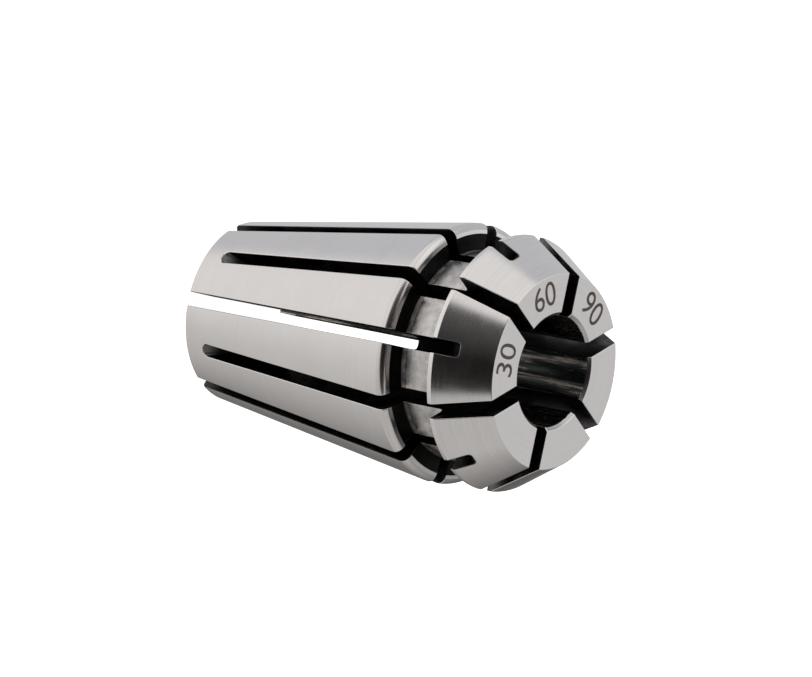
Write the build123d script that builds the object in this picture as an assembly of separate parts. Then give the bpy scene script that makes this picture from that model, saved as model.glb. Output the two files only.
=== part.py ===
# A small double-tapered spring collet with a round bore, slit from both ends.
# It is one piece of hardened steel, turned and ground, then cut by a thin saw.
# Millimetres. +Z runs along the axis from the rear face to the front face.
# The origin is the centre of the rear face, on which the collet stands.

from build123d import *
import math
import os

# Long taper at the rear, which seats in the holder
body_diameter = 11.84        # at its large end, before the corner there is rounded
body_length = 12.94          # rear face to the large end
taper_angle = 8.0            # half of the included angle
rear_edge_chamfer = 0.1      # outer edge of the rear face

# Groove that the clamping nut snaps into
groove_depth = 1.17          # from the large end of the taper down to the floor
groove_width = 2.46          # large end of the taper to the back of the nose
groove_lead_radius = 0.25    # rounding of the large end's corner
groove_lead_length = 0.1     # narrow face from that corner to the groove wall, along the axis
groove_lead_depth = 0.48     # the same face, towards the axis
groove_wall_angle = 25.0     # how far the rear wall of the groove leans back from square
groove_land_width = 0.1      # narrow land at the foot of the rear wall
groove_land_height = 0.1     # the land stands this far above the ground floor
groove_corner_radius = 0.15  # where the floor meets the back of the nose

# Nose that the nut presses on
nose_drop = 0.17             # how far its rim lies below the large end of the taper
nose_length = 2.6            # back of the nose to the front face
nose_angle = 30.0            # half of the included angle of the front cone
rim_width = 0.25             # straight land behind the cone

# Bore that grips the tool shank
bore_diameter = 5.0
bore_front_chamfer = 0.2
bore_rear_chamfer = 0.12

# Saw cuts, as many from the rear as from the front
cuts_per_end = 6
cut_width = 0.72
saw_diameter = 25.0          # its edge leaves the curved run-out at the closed end
saw_overcut = 0.7            # how far the saw's edge reaches past the bore wall
saw_corner_chamfer = 0.1     # worn corners of the saw's teeth
nose_web = 1.4               # front face to the closed end of a rear cut, on the cone
rear_web = 1.2               # rear face to the closed end of a front cut, on the taper
saw_overrun = 1.0            # how far outside the open end its travel begins

# Radii and heights that follow from the sizes above
body_radius = body_diameter / 2
bore_radius = bore_diameter / 2
groove_radius = body_radius - groove_depth
nose_radius = body_radius - nose_drop
saw_radius = saw_diameter / 2
saw_floor = bore_radius - saw_overcut
saw_axis_radius = saw_floor + saw_radius
nose_back = body_length + groove_width
front_face = nose_back + nose_length


def taper_radius(height):
    # Outside radius of the long taper at a height above the rear face.
    return body_radius - (body_length - height) * math.tan(math.radians(taper_angle))


def cone_radius(height):
    # Outside radius of the front cone at a height above the rear face.
    cone_start = nose_back + rim_width
    return nose_radius - (height - cone_start) * math.tan(math.radians(nose_angle))


def turned_section():
    # Half of the blank's section, radius along X and height along Y.
    lead_front = body_length + groove_lead_length
    lead_radius = body_radius - groove_lead_depth
    land_radius = groove_radius + groove_land_height
    wall_run = (lead_radius - land_radius) * math.tan(math.radians(groove_wall_angle))
    land_rear = lead_front + wall_run
    land_front = land_rear + groove_land_width
    outline = Polyline(
        (bore_radius + bore_rear_chamfer, 0),
        (taper_radius(0) - rear_edge_chamfer, 0),
        (taper_radius(rear_edge_chamfer), rear_edge_chamfer),
        (body_radius, body_length),
        (lead_radius, lead_front),
        (land_radius, land_rear),
        (land_radius, land_front),
        (groove_radius, land_front),
        (groove_radius, nose_back),
        (nose_radius, nose_back),
        (nose_radius, nose_back + rim_width),
        (cone_radius(front_face), front_face),
        (bore_radius + bore_front_chamfer, front_face),
        (bore_radius, front_face - bore_front_chamfer),
        (bore_radius, bore_rear_chamfer),
        close=True,
    )
    section = make_face(outline)
    large_end = section.vertices().sort_by_distance(Vector(body_radius, body_length))[0]
    section = fillet(large_end, groove_lead_radius)
    nose_corner = section.vertices().sort_by_distance(Vector(groove_radius, nose_back))[0]
    return fillet(nose_corner, groove_corner_radius)


def turned_blank():
    # The section turned once round. Its seam lies in the middle of a stave, clear of the cuts.
    stave_middle = 90 / cuts_per_end
    return Rot(Z=stave_middle) * revolve(Plane.XZ * turned_section(), Axis.Z)


def run_out_height(skin_radius):
    # Along the axis from the saw's own centre to where its edge crosses the skin.
    return math.sqrt(saw_radius**2 - (saw_axis_radius - skin_radius) ** 2)


def saw_path(centre_height, open_end_height):
    # What the saw clears: its disc at the closed end, and its travel to the open end.
    disc = Cylinder(saw_radius, cut_width)
    disc = chamfer(disc.edges().filter_by(GeomType.CIRCLE), saw_corner_chamfer)
    disc = Pos(saw_axis_radius, 0, centre_height) * Rot(X=90) * disc
    travel = abs(open_end_height - centre_height)
    middle = (open_end_height + centre_height) / 2
    slab = Pos(saw_axis_radius, 0, middle) * Box(saw_diameter, cut_width, travel)
    return disc + slab


def saw_cuts():
    # Rear cuts stop in the nose, front cuts stop near the rear face, and they alternate.
    rear_stop = front_face - nose_web
    rear_centre = rear_stop - run_out_height(cone_radius(rear_stop))
    rear_cut = saw_path(rear_centre, -saw_overrun)
    front_centre = rear_web + run_out_height(taper_radius(rear_web))
    front_cut = saw_path(front_centre, front_face + saw_overrun)
    pitch = 360 / cuts_per_end
    cuts = []
    for number in range(cuts_per_end):
        cuts.append(Rot(Z=number * pitch) * rear_cut)
        cuts.append(Rot(Z=(number + 0.5) * pitch) * front_cut)
    return cuts


def collet():
    # The finished piece. Its edges along the cuts are only brushed, so they stay sharp here.
    return turned_blank() - saw_cuts()


def main():
    os.makedirs("parts", exist_ok=True)
    export_step(collet(), "parts/collet.step")


main()
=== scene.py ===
import bmesh
import bpy
import math
from mathutils import Matrix, Vector


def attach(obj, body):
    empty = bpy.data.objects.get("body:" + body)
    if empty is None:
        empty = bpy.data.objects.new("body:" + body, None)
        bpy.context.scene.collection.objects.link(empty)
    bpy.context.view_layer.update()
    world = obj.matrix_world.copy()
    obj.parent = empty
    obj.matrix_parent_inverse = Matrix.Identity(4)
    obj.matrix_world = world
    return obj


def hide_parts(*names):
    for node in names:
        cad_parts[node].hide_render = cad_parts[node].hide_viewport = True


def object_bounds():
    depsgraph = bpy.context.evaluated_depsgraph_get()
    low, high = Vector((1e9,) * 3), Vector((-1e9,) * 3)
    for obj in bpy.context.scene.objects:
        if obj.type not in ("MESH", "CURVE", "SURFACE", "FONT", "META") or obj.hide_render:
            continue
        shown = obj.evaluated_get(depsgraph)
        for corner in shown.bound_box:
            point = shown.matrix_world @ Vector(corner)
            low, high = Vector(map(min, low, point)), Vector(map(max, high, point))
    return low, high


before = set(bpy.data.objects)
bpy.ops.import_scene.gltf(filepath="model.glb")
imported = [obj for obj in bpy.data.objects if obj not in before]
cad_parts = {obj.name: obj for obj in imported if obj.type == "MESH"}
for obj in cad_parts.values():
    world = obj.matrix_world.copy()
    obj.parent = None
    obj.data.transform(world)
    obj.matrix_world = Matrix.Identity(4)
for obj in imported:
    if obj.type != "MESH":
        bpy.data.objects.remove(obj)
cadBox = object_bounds()
mm = 0.001

bpy.context.scene.view_settings.view_transform = "Standard"


# The camera looks at the front and one side, rolled so that the standing collet lies across the picture.
view = {
    "aim": (-0.234, -0.195, 9.306),     # mm, a point beside the axis at mid length
    "azimuth": 1.368,                   # degrees from +X
    "elevation": 38.042,
    "roll": 101.003,
    "distance": 397.26,                 # mm
    "lens": 394.09,                     # mm
    "sensor": 36,                       # mm
    "clip": (0.02, 20),                 # m
}


def towardsCamera():
    azimuth, elevation = math.radians(view["azimuth"]), math.radians(view["elevation"])
    level = math.cos(elevation)
    return Vector((level * math.cos(azimuth), level * math.sin(azimuth), math.sin(elevation)))


def placeCamera():
    data = bpy.data.cameras.new("camera")
    data.sensor_width = view["sensor"]
    data.lens = view["lens"]
    data.clip_start, data.clip_end = view["clip"]
    camera = bpy.data.objects.new("camera", data)
    bpy.context.scene.collection.objects.link(camera)
    back = towardsCamera()
    roll = Matrix.Rotation(math.radians(view["roll"]), 3, "Z")
    turn = (-back).to_track_quat("-Z", "Y").to_matrix() @ roll
    spot = (Vector(view["aim"]) + back * view["distance"]) * mm
    camera.matrix_world = Matrix.Translation(spot) @ turn.to_4x4()
    bpy.context.scene.camera = camera
    return turn


pictureTurn = placeCamera()


def pictureWay(right, up, near):
    # A direction given as the picture shows it, turned into the part's own frame.
    return (pictureTurn @ Vector((right, up, near))).normalized()


print("camera placed")


# Node trees written as sums. A Wire is a socket that takes part in plain arithmetic.
class Wire:
    def __init__(self, paint, socket):
        self.paint, self.socket = paint, socket

    def math(self, operation, first, second):
        return self.paint.add("ShaderNodeMath", "Value", {"operation": operation}, {0: first, 1: second})

    def __add__(self, other):
        return self.math("ADD", self, other)

    def __sub__(self, other):
        return self.math("SUBTRACT", self, other)

    def __rsub__(self, other):
        return self.math("SUBTRACT", other, self)

    def __mul__(self, other):
        return self.math("MULTIPLY", self, other)

    def __pow__(self, other):
        return self.math("POWER", self, other)

    __rmul__ = __mul__


class Paint:
    def __init__(self, tree):
        self.tree = tree
        tree.nodes.clear()

    def add(self, kind, output=None, settings=None, inputs=None):
        # One node: its settings first, then a value or a Wire for each socket that is named.
        node = self.tree.nodes.new(kind)
        for name, value in (settings or {}).items():
            setattr(node, name, value)
        for name, value in (inputs or {}).items():
            if isinstance(value, Wire):
                self.tree.links.new(value.socket, node.inputs[name])
            else:
                node.inputs[name].default_value = value
        return Wire(self, node.outputs[output]) if output is not None else node

    def noise(self, vector, scale, detail, rough):
        return self.add("ShaderNodeTexNoise", "Fac", {"noise_dimensions": "3D"},
                        {"Vector": vector, "Scale": scale, "Detail": detail, "Roughness": rough})

    def rescale(self, value, low, high, toLow=0.0, toHigh=1.0, smooth=False):
        kind = {"interpolation_type": "SMOOTHSTEP" if smooth else "LINEAR"}
        return self.add("ShaderNodeMapRange", "Result", kind,
                        {"Value": value, "From Min": low, "From Max": high,
                         "To Min": toLow, "To Max": toHigh})

    def blend(self, factor, one, two):
        return self.add("ShaderNodeMix", 2, {"data_type": "RGBA"}, {0: factor, 6: one, 7: two})

    def vector(self, x, y, z):
        return self.add("ShaderNodeCombineXYZ", "Vector", None, {"X": x, "Y": y, "Z": z})


def newPaint(name):
    material = bpy.data.materials.new(name)
    material.use_nodes = True
    return material, Paint(material.node_tree)


# Floor, studio walls and lamps. Directions are as the picture shows them: right, up, towards the camera.
studio = {
    "floorSize": 1.6,                   # m
    "floorDrop": 0.00002,               # m, keeps the floor clear of the rear face
    "floorColour": (0.86, 0.86, 0.86, 1),
    "floorGlow": 0.97,                  # what the camera sees besides the lit floor
    "upSpan": (-0.60, 0.45),            # the walls get lighter from the bottom of the picture to its top
    "upLevel": (0.68, 1.03),
    "sideLean": 0.4,                    # and darker behind the collet
    "topBack": (-0.30, -0.08),
    "topBackLevel": 0.69,
    "lowBack": (-0.92, 0.0),
    "lowBackLevel": (0.20, 0.96),
    "topBlend": (-0.25, 0.15),
    "warm": (1.0, 0.965, 0.945, 1),
    "cool": (0.965, 0.96, 1.0, 1),
    "unlit": [                          # the dark side of the studio, round the camera and to its right
        {"way": (0.15, 0.0, 0.989), "edge": (43.0, 39.6)},      # degrees, fully lit and fully dark
        {"way": (0.80, -0.12, 0.59), "edge": (15.0, 8.0)},
    ],
    "unlitSpan": (0.0, 0.6),
    "unlitLevel": (0.014, 0.10),
    "lamps": [
        {"way": (0.72, 0.62, 0.30), "reach": 0.45, "size": 0.30, "power": 0.06},
        {"way": (0.95, -0.15, -0.20), "reach": 0.45, "size": 0.26, "power": 0.096},
    ],
}


def layFloor():
    # The steel mirrors no floor: where it would, it sees the pale walls go on.
    half = studio["floorSize"] / 2
    corners = [(-half, -half, 0), (half, -half, 0), (half, half, 0), (-half, half, 0)]
    data = bpy.data.meshes.new("floor")
    data.from_pydata(corners, [], [(0, 1, 2, 3)])
    floor = bpy.data.objects.new("floor", data)
    floor.location.z = -studio["floorDrop"]
    bpy.context.scene.collection.objects.link(floor)
    material, paint = newPaint("paleFloor")
    seen = paint.add("ShaderNodeLightPath", "Is Camera Ray")
    mirrored = paint.add("ShaderNodeLightPath", "Is Glossy Ray")
    diffuse = paint.add("ShaderNodeBsdfDiffuse", "BSDF", None, {"Color": studio["floorColour"]})
    glow = paint.add("ShaderNodeEmission", "Emission", None,
                     {"Color": (1, 1, 1, 1), "Strength": seen * studio["floorGlow"]})
    lit = paint.add("ShaderNodeAddShader", "Shader", None, {0: diffuse, 1: glow})
    clear = paint.add("ShaderNodeBsdfTransparent", "BSDF")
    surface = paint.add("ShaderNodeMixShader", "Shader", None, {0: mirrored, 1: lit, 2: clear})
    paint.add("ShaderNodeOutputMaterial", None, None, {"Surface": surface})
    data.materials.append(material)


def lightWalls():
    world = bpy.data.worlds.new("studio")
    world.use_nodes = True
    bpy.context.scene.world = world
    paint = Paint(world.node_tree)
    way = paint.add("ShaderNodeTexCoord", "Generated")

    def facing(*direction):
        return paint.add("ShaderNodeVectorMath", "Value", {"operation": "DOT_PRODUCT"},
                         {0: way, 1: pictureWay(*direction)})

    right, up, near = facing(1, 0, 0), facing(0, 1, 0), facing(0, 0, 1)
    level = paint.rescale(up, *studio["upSpan"], *studio["upLevel"], smooth=True)
    depth = near - right * studio["sideLean"]
    topBack = paint.rescale(depth, *studio["topBack"], studio["topBackLevel"], 1.0, smooth=True)
    lowBack = paint.rescale(depth, *studio["lowBack"], *studio["lowBackLevel"])
    upper = paint.rescale(up, *studio["topBlend"], smooth=True)
    unlit = paint.rescale(up, *studio["unlitSpan"], *studio["unlitLevel"])
    # What the lit walls add to the unlit level, which is all that the dark side has.
    lit = level * (lowBack + (topBack - lowBack) * upper) - unlit
    for patch in studio["unlit"]:
        low, high = (math.cos(math.radians(angle)) for angle in patch["edge"])
        lit = lit * paint.rescale(facing(*patch["way"]), low, high, 1.0, 0.0, smooth=True)
    cool = (1 - paint.rescale(depth, *studio["topBack"], smooth=True)) * upper
    seen = paint.add("ShaderNodeLightPath", "Is Camera Ray")
    strength = seen + (1 - seen) * (lit + unlit)
    colour = paint.blend(cool * (1 - seen), studio["warm"], studio["cool"])
    colour = paint.blend(seen, colour, (1, 1, 1, 1))
    walls = paint.add("ShaderNodeBackground", "Background", None, {"Color": colour, "Strength": strength})
    paint.add("ShaderNodeOutputWorld", None, None, {"Surface": walls})


def hangLamps():
    middle = (cadBox[0] + cadBox[1]) / 2
    for number, lamp in enumerate(studio["lamps"]):
        data = bpy.data.lights.new("softbox", "AREA")
        data.shape = "SQUARE"
        data.size = lamp["size"]
        data.energy = lamp["power"]
        light = bpy.data.objects.new("softbox%d" % number, data)
        way = pictureWay(*lamp["way"])
        light.location = middle + way * lamp["reach"]
        light.rotation_euler = (-way).to_track_quat("-Z", "Y").to_euler()
        bpy.context.scene.collection.objects.link(light)


layFloor()
lightWalls()
hangLamps()
print("studio set")


# The collet, in millimetres, as it is turned and slit.
collet = {
    "bodyDiameter": 11.84,
    "bodyLength": 12.94,
    "taperAngle": 8.0,
    "rearEdgeChamfer": 0.1,
    "grooveDepth": 1.17,
    "grooveWidth": 2.46,
    "leadRadius": 0.36,
    "leadLength": 0.1,
    "leadDepth": 0.48,
    "grooveWallAngle": 5.0,
    "landFront": 13.36,         # height at which the floor's rear strip ends, in a small step up
    "landDrop": 0.03,           # how far that strip lies below the floor
    "landStep": 0.04,           # length of the step
    "grooveCornerRadius": 0.15,
    "noseDrop": 0.17,
    "noseLength": 2.6,
    "noseAngle": 30.0,
    "rimWidth": 0.25,
    "boreDiameter": 5.0,
    "boreFrontChamfer": 0.15,
    "boreRearChamfer": 0.12,
    "cutsPerEnd": 6,
    "rearCutWidths": (0.645, 0.64),     # at the closed end and at the open end
    "frontCutWidths": (0.61, 0.72),
    "sawDiameter": 25.0,
    "sawOvercut": 0.7,
    "sawCorner": 0.16,
    "noseWeb": 1.4,
    "rearWeb": 1.2,
    "turnedEdge": 0.05,         # radius that brushing leaves on the turned edges
    "turnedHollow": 0.03,       # and in the hollow corners
    "cutEdge": 0.045,           # how far the edges along the cuts are brushed back
    "staveColumns": 8,          # from here on, how fine the mesh is
    "webColumns": 2,
    "cornerSteps": 5,
    "edgeSteps": 3,
    "runOutRows": 16,
    "rowSpacing": 0.9,
    "arcStep": 24,              # degrees of a corner's arc
    "crossingRounds": 60,       # tries that close in on where the saw leaves a surface
    "mergeWithin": 0.0002,
}


class Outline:
    # Half of the turned section: straight pieces with an arc at each corner, walked once round.
    def __init__(self, c):
        self.c = c
        self.bodyRadius = c["bodyDiameter"] / 2
        self.noseRadius = self.bodyRadius - c["noseDrop"]
        self.boreRadius = c["boreDiameter"] / 2
        self.noseBack = c["bodyLength"] + c["grooveWidth"]
        self.frontFace = self.noseBack + c["noseLength"]
        self.corners = self.listCorners()

    def taperRadius(self, height):
        slope = math.tan(math.radians(self.c["taperAngle"]))
        return self.bodyRadius - (self.c["bodyLength"] - height) * slope

    def coneRadius(self, height):
        start = self.noseBack + self.c["rimWidth"]
        return self.noseRadius - (height - start) * math.tan(math.radians(self.c["noseAngle"]))

    def listCorners(self):
        # Radius, height, how round the corner is, its finish, and the finish of the piece that follows it.
        c = self.c
        edge, hollow = c["turnedEdge"], c["turnedHollow"]
        grooveRadius = self.bodyRadius - c["grooveDepth"]
        leadFront = c["bodyLength"] + c["leadLength"]
        leadRadius = self.bodyRadius - c["leadDepth"]
        landRadius = grooveRadius - c["landDrop"]
        landRear = leadFront + (leadRadius - landRadius) * math.tan(math.radians(c["grooveWallAngle"]))
        landFront = c["landFront"]
        front = self.frontFace
        return [
            (self.boreRadius + c["boreRearChamfer"], 0, edge, "edge", "faces"),
            (self.taperRadius(0) - c["rearEdgeChamfer"], 0, edge, "edge", "lead"),
            (self.taperRadius(c["rearEdgeChamfer"]), c["rearEdgeChamfer"], edge, "edge", "taper"),
            (self.bodyRadius, c["bodyLength"], c["leadRadius"], "lead", "lead"),
            (leadRadius, leadFront, edge, "lead", "grooveWall"),
            (landRadius, landRear, hollow, "grooveWall", "land"),
            (landRadius, landFront, hollow, "land", "land"),
            (grooveRadius, landFront + c["landStep"], hollow, "groove", "groove"),
            (grooveRadius, self.noseBack, c["grooveCornerRadius"], "groove", "faces"),
            (self.noseRadius, self.noseBack, edge, "edge", "rim"),
            (self.noseRadius, self.noseBack + c["rimWidth"], edge, "edge", "cone"),
            (self.coneRadius(front), front, edge, "edge", "faces"),
            (self.boreRadius + c["boreFrontChamfer"], front, edge, "edge", "boreEdge"),
            (self.boreRadius, front - c["boreFrontChamfer"], edge, "bore", "bore"),
            (self.boreRadius, c["boreRearChamfer"], edge, "edge", "boreEdge"),
        ]


def turnedRing(outline, extra):
    # Stations round the section: place, direction of travel and the finish towards the next one.
    # extra holds more heights on a piece, each with a mark that its station keeps.
    corners = outline.corners
    count = len(corners)
    places = [Vector(corner[:2]) for corner in corners]
    ways = [(places[(number + 1) % count] - places[number]).normalized() for number in range(count)]
    turns = [math.atan2(ways[i - 1].x * ways[i].y - ways[i - 1].y * ways[i].x, ways[i - 1].dot(ways[i]))
             for i in range(count)]
    backs = [corners[i][2] * math.tan(abs(turns[i]) / 2) for i in range(count)]
    stations = []

    def put(place, way, finish, mark=None):
        stations.append({"r": place.x, "z": place.y, "way": way.copy(), "finish": finish, "mark": mark})

    for number in range(count):
        before, after, turn = ways[number - 1], ways[number], turns[number]
        radius, cornerFinish, finish = corners[number][2:]
        arm = Vector((before.y, -before.x)) * math.copysign(radius, turn)
        centre = places[number] - before * backs[number] - arm
        steps = max(2, math.ceil(abs(turn) / math.radians(outline.c["arcStep"])))
        for step in range(steps):
            spin = Matrix.Rotation(turn * step / steps, 2)
            put(centre + spin @ arm, spin @ before, cornerFinish)
        start = places[number] + after * backs[number]
        end = places[(number + 1) % count] - after * backs[(number + 1) % count]
        knots = [(0.0, None), ((end - start).length, None)]
        knots += [((height - start.y) / after.y, mark) for height, mark in extra.get(finish, [])]
        knots.sort(key=lambda knot: knot[0])
        for (low, mark), (high, _) in zip(knots[:-1], knots[1:]):
            pieces = max(1, math.ceil((high - low) / outline.c["rowSpacing"]))
            for piece in range(pieces):
                along = low + (high - low) * piece / pieces
                put(start + after * along, after, finish, None if piece else mark)
    return stations


class SawCut:
    # The path of the saw: its disc at the closed end and its travel along the axis to the open end.
    # Its side is 1 when it is closed at the front and -1 when it is closed at the rear.
    def __init__(self, outline, name, side, skin, skinRadius, stop, widths):
        c = outline.c
        self.outline, self.name, self.side = outline, name, side
        self.surfaces = {skin: skinRadius, "bore": lambda height: outline.boreRadius}
        self.stop, self.openEnd = stop, 0.0 if side > 0 else outline.frontFace
        self.widths, self.corner = widths, c["sawCorner"]
        self.radius = c["sawDiameter"] / 2
        self.axis = outline.boreRadius - c["sawOvercut"] + self.radius
        self.centre = stop - side * math.sqrt(self.radius ** 2 - (self.axis - skinRadius(stop)) ** 2)
        self.skin = skin

    def halfWidth(self, height):
        # The jaws are bent a little open, so the width changes towards the open end, ever faster.
        closed, opened = self.widths
        share = (height - self.stop) / (self.openEnd - self.stop)
        return (closed + (opened - closed) * share * abs(share)) / 2

    def crossPlace(self, column, height):
        # Across half of the cut, from the middle of the run-out over the worn corner to the wall.
        # Gives the depth inside the disc, the distance from the middle plane and the turn of the normal.
        web, steps = self.outline.c["webColumns"], self.outline.c["cornerSteps"]
        flat = self.halfWidth(height) - self.corner
        if column < web:
            return 0.0, flat * column / web, math.pi / 2
        turn = math.pi / 2 * (web + steps - column) / steps
        return self.corner * (1 - math.sin(turn)), flat + self.corner * math.cos(turn), turn

    def crossing(self, surface, column):
        # Height at which this column of the disc's edge leaves the surface.
        height = self.centre
        for _ in range(self.outline.c["crossingRounds"]):
            depth, aside, _ = self.crossPlace(column, height)
            x = math.sqrt(self.surfaces[surface](height) ** 2 - aside ** 2)
            height = self.centre + self.side * math.sqrt((self.radius - depth) ** 2 - (self.axis - x) ** 2)
        return height

    def marks(self, surface):
        web, steps = self.outline.c["webColumns"], self.outline.c["cornerSteps"]
        columns = range(web, web + steps + 1)
        return [(self.crossing(surface, column), (self.name, column)) for column in columns]

    def inwards(self, place):
        # From a place on the run-out towards the saw's own axis.
        return Vector((self.axis - place.x, 0, self.centre - place.z)).normalized()


def skinNormal(station, place):
    level = math.hypot(place.x, place.y)
    outward = station["way"].y
    return Vector((outward * place.x / level, outward * place.y / level, -station["way"].x))


def edgeChain(cut, stations):
    # The whole edge of a cut on one side of its middle plane, from the middle of its closed end
    # on the skin, round its open end, to the middle of its closed end in the bore.
    c = cut.outline.c
    web = c["webColumns"]
    ends = [number for number, station in enumerate(stations) if station["mark"] == (cut.name, web)]
    boreEnd = next(number for number in ends if stations[number]["finish"] == "bore")
    skinEnd = next(number for number in ends if number != boreEnd)
    chain = []

    def acrossWeb(station, surface):
        for column in range(web):
            height = cut.crossing(surface, column)
            _, aside, _ = cut.crossPlace(column, height)
            x = math.sqrt(cut.surfaces[surface](height) ** 2 - aside ** 2)
            place = Vector((x, aside, height))
            yield {"place": place, "skin": skinNormal(stations[station], place),
                   "cut": cut.inwards(place), "station": None}

    chain += list(acrossWeb(skinEnd, cut.skin))
    number = skinEnd
    while True:
        station = stations[number]
        aside, turn = cut.halfWidth(station["z"]), 0.0
        if station["mark"] and station["mark"][0] == cut.name:
            _, aside, turn = cut.crossPlace(station["mark"][1], station["z"])
        place = Vector((math.sqrt(station["r"] ** 2 - aside ** 2), aside, station["z"]))
        normal = cut.inwards(place) * math.sin(turn) - Vector((0, math.cos(turn), 0))
        chain.append({"place": place, "skin": skinNormal(station, place), "cut": normal, "station": number})
        if number == boreEnd:
            break
        number = (number - cut.side) % len(stations)
    chain += reversed(list(acrossWeb(boreEnd, "bore")))
    for number, item in enumerate(chain):
        before = chain[max(number - 1, 0)]["place"]
        after = chain[min(number + 1, len(chain) - 1)]["place"]
        along = (after - before).normalized()
        if number in (0, len(chain) - 1):
            along = Vector((0, 1, 0))
        onSkin = item["skin"].cross(along).normalized()
        onSkin *= -1 if onSkin.dot(item["cut"]) > 0 else 1
        onCut = item["cut"].cross(along).normalized()
        onCut *= -1 if onCut.dot(item["skin"]) > 0 else 1
        item["rim"] = brokenEdge(item["place"], onSkin, onCut, c["cutEdge"], c["edgeSteps"])
    return chain, skinEnd, boreEnd


def brokenEdge(corner, onSkin, onCut, size, steps):
    # A small curve that leaves the skin and ends on the wall of the cut.
    first, second = corner + onSkin * size, corner + onCut * size
    rim = []
    for step in range(steps + 1):
        t = step / steps
        rim.append(first * (1 - t) ** 2 + corner * 2 * t * (1 - t) + second * t ** 2)
    return rim


def edgeFinish(cut, stations, item):
    # Darker, as painted shade, across a closed end and where a rear cut crosses the cone, like the skin in
    # the bore and the groove, and rubbed bright elsewhere.
    if item["station"] is None:
        return "shadedEdge"
    finish = stations[item["station"]]["finish"]
    if finish in ("bore", "groove", "grooveWall", "land"):
        return finish
    return "shadedEdge" if cut.side > 0 and finish == "cone" else "edge"


def buildSector(outline, stations, cuts):
    # One twelfth of the collet, from the middle of a rear cut to the middle of a front cut.
    c = outline.c
    pitch = math.pi / c["cutsPerEnd"]
    places, normals, faces = [], [], []

    def put(place, normal):
        places.append(place)
        normals.append(normal.normalized())
        return len(places) - 1

    def quads(lower, upper, finish):
        for one in range(len(lower) - 1):
            faces.append(([lower[one], lower[one + 1], upper[one + 1], upper[one]], finish))

    def cutSide(cut, toPart):
        chain, skinEnd, boreEnd = edgeChain(cut, stations)
        rims = []
        for item in chain:
            shares = [step / c["edgeSteps"] for step in range(c["edgeSteps"] + 1)]
            rims.append([put(toPart @ place, toPart @ item["skin"].lerp(item["cut"], share))
                         for place, share in zip(item["rim"], shares)])
        # Strips of the broken edge with a look of their own. The others look like the wall.
        bright = 1 if cut.side > 0 else c["edgeSteps"] - 1
        for item, lower, upper in zip(chain, rims[:-1], rims[1:]):
            quads(lower[:bright + 1], upper[:bright + 1], edgeFinish(cut, stations, item))
            quads(lower[bright:], upper[bright:], cut.name)
        web = c["webColumns"]
        rows = [None] * len(stations)
        for item, rim in zip(chain, rims):
            if item["station"] is not None:
                rows[item["station"]] = [rim[0]]
        rows[skinEnd] = [rim[0] for rim in rims[:web + 1]]
        rows[boreEnd] = [rim[0] for rim in reversed(rims[-web - 1:])]
        for number, station in enumerate(stations):
            if rows[number] is None:
                rows[number] = []
                for column in range(web + 1):
                    aside = cut.crossPlace(column, cut.stop)[1]
                    place = Vector((math.sqrt(station["r"] ** 2 - aside ** 2), aside, station["z"]))
                    rows[number].append(put(toPart @ place, toPart @ skinNormal(station, place)))
        runOut = []
        columns = web + c["cornerSteps"] + 1
        for column in range(columns):
            first, final = chain[column]["rim"][-1], chain[-1 - column]["rim"][-1]
            angles = [math.atan2(cut.side * (p.z - cut.centre), p.x - cut.axis) for p in (first, final)]
            reach = [math.hypot(p.z - cut.centre, p.x - cut.axis) for p in (first, final)]
            turn = cut.crossPlace(column, cut.stop)[2]
            line = [rims[column][-1]]
            for row in range(1, c["runOutRows"]):
                share = row / c["runOutRows"]
                angle = angles[0] + (angles[1] - angles[0]) * share
                radius = reach[0] + (reach[1] - reach[0]) * share
                place = Vector((cut.axis + radius * math.cos(angle), first.y + (final.y - first.y) * share,
                                cut.centre + cut.side * radius * math.sin(angle)))
                normal = cut.inwards(place) * math.sin(turn) - Vector((0, math.cos(turn), 0))
                line.append(put(toPart @ place, toPart @ normal))
            runOut.append(line + [rims[-1 - column][-1]])
        for lower, upper in zip(runOut[:-1], runOut[1:]):
            quads(lower, upper, cut.name + "End")
        wall = [rim[-1] for rim in rims[columns - 1:len(rims) - columns + 1]]
        faces.append((wall + runOut[-1][-2:0:-1], cut.name))
        return rows

    rear, front = cuts
    mirror = Matrix.Rotation(pitch, 3, "Z") @ Matrix.Diagonal((1, -1, 1))
    rearRows = cutSide(rear, Matrix.Identity(3))
    frontRows = cutSide(front, mirror)
    staves = []
    for station, fromRear, fromFront in zip(stations, rearRows, frontRows):
        a, b = places[fromRear[-1]], places[fromFront[-1]]
        angles = math.atan2(a.y, a.x), math.atan2(b.y, b.x)
        radii = math.hypot(a.x, a.y), math.hypot(b.x, b.y)
        row = [fromRear[-1]]
        for column in range(1, c["staveColumns"]):
            share = column / c["staveColumns"]
            angle = angles[0] + (angles[1] - angles[0]) * share
            radius = radii[0] + (radii[1] - radii[0]) * share
            place = Vector((radius * math.cos(angle), radius * math.sin(angle), a.z + (b.z - a.z) * share))
            row.append(put(place, skinNormal(station, place)))
        staves.append(row + [fromFront[-1]])
    for number, station in enumerate(stations):
        after = (number + 1) % len(stations)
        quads(staves[number], staves[after], station["finish"])
        for rows in (rearRows, frontRows):
            if len(rows[number]) > 1 and len(rows[after]) > 1:
                quads(rows[number], rows[after], station["finish"])
    return places, normals, faces


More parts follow.
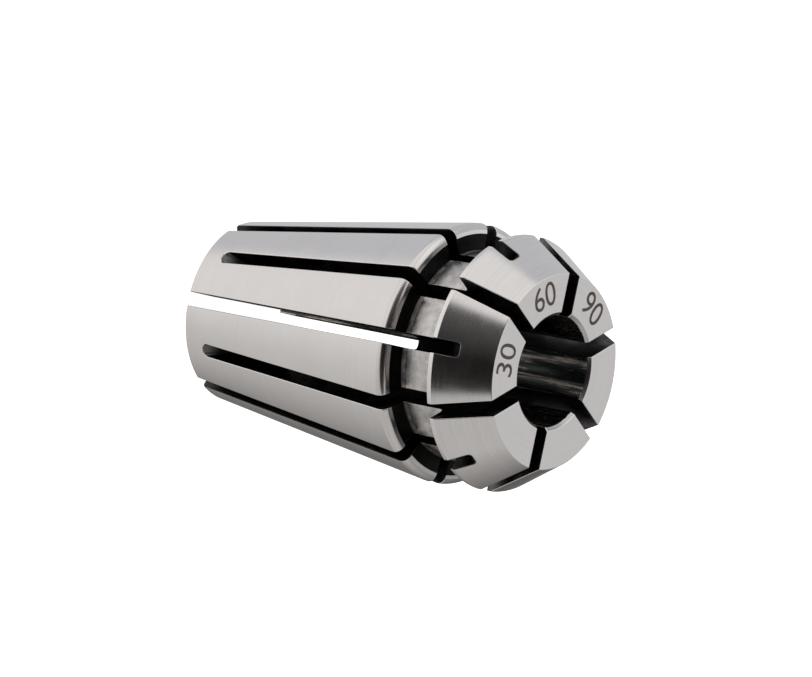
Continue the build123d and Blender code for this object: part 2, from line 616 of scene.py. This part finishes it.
def buildCollet(finishes):
    outline = Outline(collet)
    c = outline.c
    noseStop = outline.frontFace - c["noseWeb"]
    cuts = [SawCut(outline, "rearCut", 1, "cone", outline.coneRadius, noseStop, c["rearCutWidths"]),
            SawCut(outline, "frontCut", -1, "taper", outline.taperRadius, c["rearWeb"], c["frontCutWidths"])]
    extra = {"cone": cuts[0].marks("cone"), "taper": cuts[1].marks("taper"),
             "bore": cuts[0].marks("bore") + cuts[1].marks("bore")}
    places, normals, faces = buildSector(outline, turnedRing(outline, extra), cuts)
    names = list(finishes)
    allPlaces, allNormals, allFaces, allFinishes = [], [], [], []
    for number in range(c["cutsPerEnd"]):
        spin = Matrix.Rotation(2 * math.pi * number / c["cutsPerEnd"], 3, "Z")
        for flip in (1, -1):
            base = len(allPlaces)
            turn = spin @ Matrix.Diagonal((1, flip, 1))
            allPlaces += [turn @ place * mm for place in places]
            allNormals += [turn @ normal for normal in normals]
            for corners, finish in faces:
                allFaces.append([base + corner for corner in corners])
                allFinishes.append(names.index(finish))
    data = bpy.data.meshes.new("collet")
    data.from_pydata(allPlaces, [], allFaces)
    data.polygons.foreach_set("material_index", allFinishes)
    for name in names:
        data.materials.append(finishes[name])
    # The true normals ride through the merging as an attribute.
    true = data.attributes.new("trueNormal", "FLOAT_VECTOR", "POINT")
    true.data.foreach_set("vector", [part for normal in allNormals for part in normal])
    joined = bmesh.new()
    joined.from_mesh(data)
    bmesh.ops.remove_doubles(joined, verts=joined.verts, dist=c["mergeWithin"] * mm)
    bmesh.ops.recalc_face_normals(joined, faces=joined.faces)
    for face in joined.faces:
        face.smooth = True
    joined.to_mesh(data)
    joined.free()
    true = data.attributes["trueNormal"]
    data.normals_split_custom_set_from_vertices([item.vector.copy() for item in true.data])
    data.attributes.remove(data.attributes["trueNormal"])
    piece = bpy.data.objects.new("collet_body", data)
    bpy.context.scene.collection.objects.link(piece)
    return piece, outline


# Ground, turned, honed and sawn steel. Colour and roughness vary along the lines that each tool leaves.
# Spacing, depth and fade are in mm, the fade being painted shade that darkens a finish towards the axis.
# Cloud is the share of clouds against lines, and patches their scale.
# Span is the part of the noise that goes from dark to light. A low glance dims mirroring at a flat angle.
finishLooks = {
    "taper": {"light": (0.69, 0.68, 0.67), "dark": (0.64, 0.635, 0.63), "rough": (0.20, 0.27),
              "lines": "round", "spacing": 0.10, "depth": 0.0004, "cloud": 0.5},
    # Painted shade: the lead is a little darker than the taper, to dim the light along its rounded corner.
    "lead": {"light": (0.68, 0.67, 0.66), "dark": (0.58, 0.57, 0.56), "rough": (0.18, 0.26),
             "lines": "round", "spacing": 0.05, "depth": 0.0006, "cloud": 0.2},
    "cone": {"light": (0.69, 0.68, 0.67), "dark": (0.62, 0.615, 0.61), "rough": (0.12, 0.20),
             "lines": "round", "spacing": 0.07, "depth": 0.0004, "cloud": 0.3},
    "rim": {"light": (0.76, 0.75, 0.74), "dark": (0.68, 0.675, 0.67), "rough": (0.20, 0.30),
            "lines": "round", "spacing": 0.05, "depth": 0.0006, "cloud": 0.2},
    "groove": {"light": (0.66, 0.65, 0.64), "dark": (0.34, 0.335, 0.33), "rough": (0.22, 0.38),
               "lines": "round", "spacing": 0.06, "depth": 0.0016, "cloud": 0.7, "patches": 1.8},
    # Painted shade: the groove wall is near black, standing in for the shaded back of the nose that it faces
    # and mirrors.
    "grooveWall": {"light": (0.025, 0.024, 0.023), "dark": (0.008, 0.008, 0.008), "rough": (0.30, 0.45),
                   "lines": "ring", "spacing": 0.06, "depth": 0.0012, "cloud": 0.5, "glance": 0.4},
    # Painted shade: the floor's rear strip beside the wall is darker and cloudier than the rest of the
    # groove, for the wall's shade.
    "land": {"light": (0.54, 0.53, 0.52), "dark": (0.17, 0.168, 0.165), "rough": (0.42, 0.60),
             "lines": "round", "spacing": 0.06, "depth": 0.0020, "cloud": 0.9, "patches": 2.4},
    "faces": {"light": (0.66, 0.65, 0.64), "dark": (0.61, 0.60, 0.595), "rough": (0.24, 0.34),
              "lines": "ring", "spacing": 0.09, "depth": 0.0005, "cloud": 0.4},
    # Painted shade: the chamfers into the bore are darker than the faces around them.
    "boreEdge": {"light": (0.56, 0.555, 0.545), "dark": (0.36, 0.36, 0.355), "rough": (0.24, 0.34),
                 "lines": "round", "spacing": 0.05, "depth": 0.0010, "cloud": 0.4},
    # Painted shade: the bore is mostly near black, with light streaks along the honing that also stand in
    # for painted reflections.
    "bore": {"light": (0.70, 0.63, 0.58), "dark": (0.06, 0.074, 0.071), "rough": (0.18, 0.30),
             "lines": "along", "spacing": 0.32, "depth": 0.0012, "cloud": 0.22, "span": (0.48, 0.57),
             "glance": 0.6},
    # The sawn walls and their run-outs are near black: dark heat scale, with painted shade on top of it.
    # Where a fade is given, they darken further towards the axis as painted shade.
    "rearCut": {"light": (0.10, 0.10, 0.095), "dark": (0.02, 0.022, 0.02), "rough": (0.30, 0.45),
                "lines": "sawn", "spacing": 0.09, "depth": 0.0030, "cloud": 0.5, "side": 1, "glance": 0.15},
    "frontCut": {"light": (0.20, 0.197, 0.20), "dark": (0.02, 0.021, 0.02), "rough": (0.22, 0.45),
                 "lines": "sawn", "spacing": 0.20, "depth": 0.0030, "cloud": 0.75, "patches": 1.1,
                 "side": -1, "fade": (2.6, 4.2), "glance": 0.5},
    "rearCutEnd": {"light": (0.10, 0.097, 0.094), "dark": (0.03, 0.03, 0.03), "rough": (0.32, 0.46),
                   "lines": "along", "spacing": 0.10, "depth": 0.0025, "cloud": 0.4, "fade": (4.2, 4.9),
                   "glance": 0.25},
    "frontCutEnd": {"light": (0.24, 0.235, 0.23), "dark": (0.11, 0.11, 0.105), "rough": (0.32, 0.46),
                    "lines": "along", "spacing": 0.10, "depth": 0.0025, "cloud": 0.4, "fade": (3.8, 4.25),
                    "glance": 0.3},
    "edge": {"light": (0.76, 0.75, 0.74), "dark": (0.66, 0.655, 0.65), "rough": (0.18, 0.26),
             "lines": "round", "spacing": 0.20, "depth": 0.0004, "cloud": 0.2},
    # Painted shade on the edges of the closed ends and where a rear cut crosses the cone.
    "shadedEdge": {"light": (0.36, 0.355, 0.35), "dark": (0.14, 0.14, 0.14), "rough": (0.24, 0.36),
                 "lines": "round", "spacing": 0.20, "depth": 0.0004, "cloud": 0.9, "patches": 1.5},
}

# What the finishes have in common. A noise is given by its scale, detail and roughness.
toolMarks = {
    "slow": 0.16,                       # how far a tool line wanders, against its spacing
    "coarse": (1.0, 2.0, 0.6),
    "fine": (3.1, 3.0, 0.7),
    "coarseShare": 0.6,                 # of the lines, and the rest is fine
    "patches": 0.55,                    # scale of the clouds, where a finish gives none
    "cloud": (4.0, 0.6),
    "toneSpan": (0.36, 0.64),           # as span, where a finish gives none
    "roughSpan": (0.35, 0.65),
    "cutShade": (0.02, 0.02, 0.02, 1),     # painted shade deep in a cut, towards the axis
}


def lineField(paint, look, x, y, z, radius):
    # A vector that changes fast across the tool's lines and slowly along them, in line spacings.
    across, slow = 1 / look["spacing"], toolMarks["slow"]
    if look["lines"] == "round":
        return paint.vector(x * slow, y * slow, z * across)
    if look["lines"] == "ring":
        return paint.vector(x * slow, y * slow, radius * across)
    if look["lines"] == "along":
        return paint.vector(x * across, y * across, z * slow)
    sawRadius = collet["sawDiameter"] / 2
    axis = collet["boreDiameter"] / 2 - collet["sawOvercut"] + sawRadius
    feed = z - look["side"] * (sawRadius ** 2 - (axis - radius) * (axis - radius)) ** 0.5
    return paint.vector(x * slow, y * slow, feed * across)


def steelFinish(name, look):
    material, paint = newPaint("steel_" + name)
    place = paint.add("ShaderNodeVectorMath", "Vector", {"operation": "SCALE"},
                      {0: paint.add("ShaderNodeTexCoord", "Object"), "Scale": 1 / mm})
    parts = paint.add("ShaderNodeSeparateXYZ", None, None, {"Vector": place})
    x, y, z = (Wire(paint, parts.outputs[axis]) for axis in "XYZ")
    radius = (x * x + y * y) ** 0.5
    field = lineField(paint, look, x, y, z, radius)
    coarse = paint.noise(field, *toolMarks["coarse"])
    fine = paint.noise(field, *toolMarks["fine"])
    cloud = paint.noise(place, look.get("patches", toolMarks["patches"]), *toolMarks["cloud"])
    lines = coarse * toolMarks["coarseShare"] + fine * (1 - toolMarks["coarseShare"])
    mottle = lines * (1 - look["cloud"]) + cloud * look["cloud"]
    tone = paint.rescale(mottle, *look.get("span", toolMarks["toneSpan"]))
    colour = paint.blend(tone, look["dark"] + (1,), look["light"] + (1,))
    if "fade" in look:
        # Painted shade: all dark at the first radius, none from the second on
        outOfShade = paint.rescale(radius, *look["fade"], smooth=True)
        colour = paint.blend(outOfShade, toolMarks["cutShade"], colour)
    rough = paint.rescale(fine * 0.5 + cloud * 0.5, *toolMarks["roughSpan"], *look["rough"])
    bump = paint.add("ShaderNodeBump", "Normal", None,
                     {"Strength": 1.0, "Distance": look["depth"] * mm, "Height": lines})
    glance = look.get("glance", 1.0)
    shader = paint.add("ShaderNodeBsdfPrincipled", "BSDF", None,
                       {"Base Color": colour, "Metallic": 1.0, "Roughness": rough, "Normal": bump,
                        "Specular Tint": (glance, glance, glance, 1)})
    paint.add("ShaderNodeOutputMaterial", None, None, {"Surface": shader})
    return material


finishes = {name: steelFinish(name, look) for name, look in finishLooks.items()}
body, outline = buildCollet(finishes)
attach(body, "root")
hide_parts("collet")
print("collet turned and slit:", len(body.data.polygons), "faces")


# Plain dial numbers etched on three of the jaws, tops outward, read clockwise from the front.
numbers = {
    "texts": ["30", "60", "90"],
    "height": 1.15,                     # mm
    "sizePerHeight": 1.38,              # the font's size against the height of its figures
    "middle": 3.52,                     # mm from the axis to the middle of a number
    "thickness": 0.004,                 # mm, how far they stand proud
    "dark": (0.085, 0.065, 0.058, 1),
    "light": (0.16, 0.13, 0.12, 1),
    "grain": (9000.0, 3.0, 0.6),        # noise, with its scale to a metre
    "grainSpan": (0.35, 0.65),
    "metallic": 0.3,
    "rough": 0.6,
}


def etchNumbers():
    material, paint = newPaint("etched_mark")
    grain = paint.noise(paint.add("ShaderNodeTexCoord", "Object"), *numbers["grain"])
    colour = paint.blend(paint.rescale(grain, *numbers["grainSpan"]), numbers["dark"], numbers["light"])
    shader = paint.add("ShaderNodeBsdfPrincipled", "BSDF", None,
                       {"Base Color": colour, "Metallic": numbers["metallic"],
                        "Roughness": numbers["rough"]})
    paint.add("ShaderNodeOutputMaterial", None, None, {"Surface": shader})
    up = Vector((0, 0, 1))
    for jaw, text in enumerate(numbers["texts"]):
        curve = bpy.data.curves.new("number", "FONT")
        curve.body = text
        curve.align_x, curve.align_y = "CENTER", "CENTER"
        curve.size = numbers["height"] * numbers["sizePerHeight"] * mm
        curve.extrude = numbers["thickness"] * mm
        maker = bpy.data.objects.new("number", curve)
        bpy.context.scene.collection.objects.link(maker)
        data = bpy.data.meshes.new_from_object(maker.evaluated_get(bpy.context.evaluated_depsgraph_get()))
        bpy.data.objects.remove(maker)
        angle = -2 * math.pi * jaw / collet["cutsPerEnd"]
        outward = Vector((math.cos(angle), math.sin(angle), 0))
        turn = Matrix((outward.cross(up), outward, up)).transposed()
        shift = outward * numbers["middle"] * mm + Vector((0, 0, outline.frontFace * mm))
        data.transform(Matrix.Translation(shift) @ turn.to_4x4())
        data.materials.clear()
        data.materials.append(material)
        piece = bpy.data.objects.new("jaw_number_%s" % text, data)
        bpy.context.scene.collection.objects.link(piece)
        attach(piece, "root")


etchNumbers()
print("numbers etched")
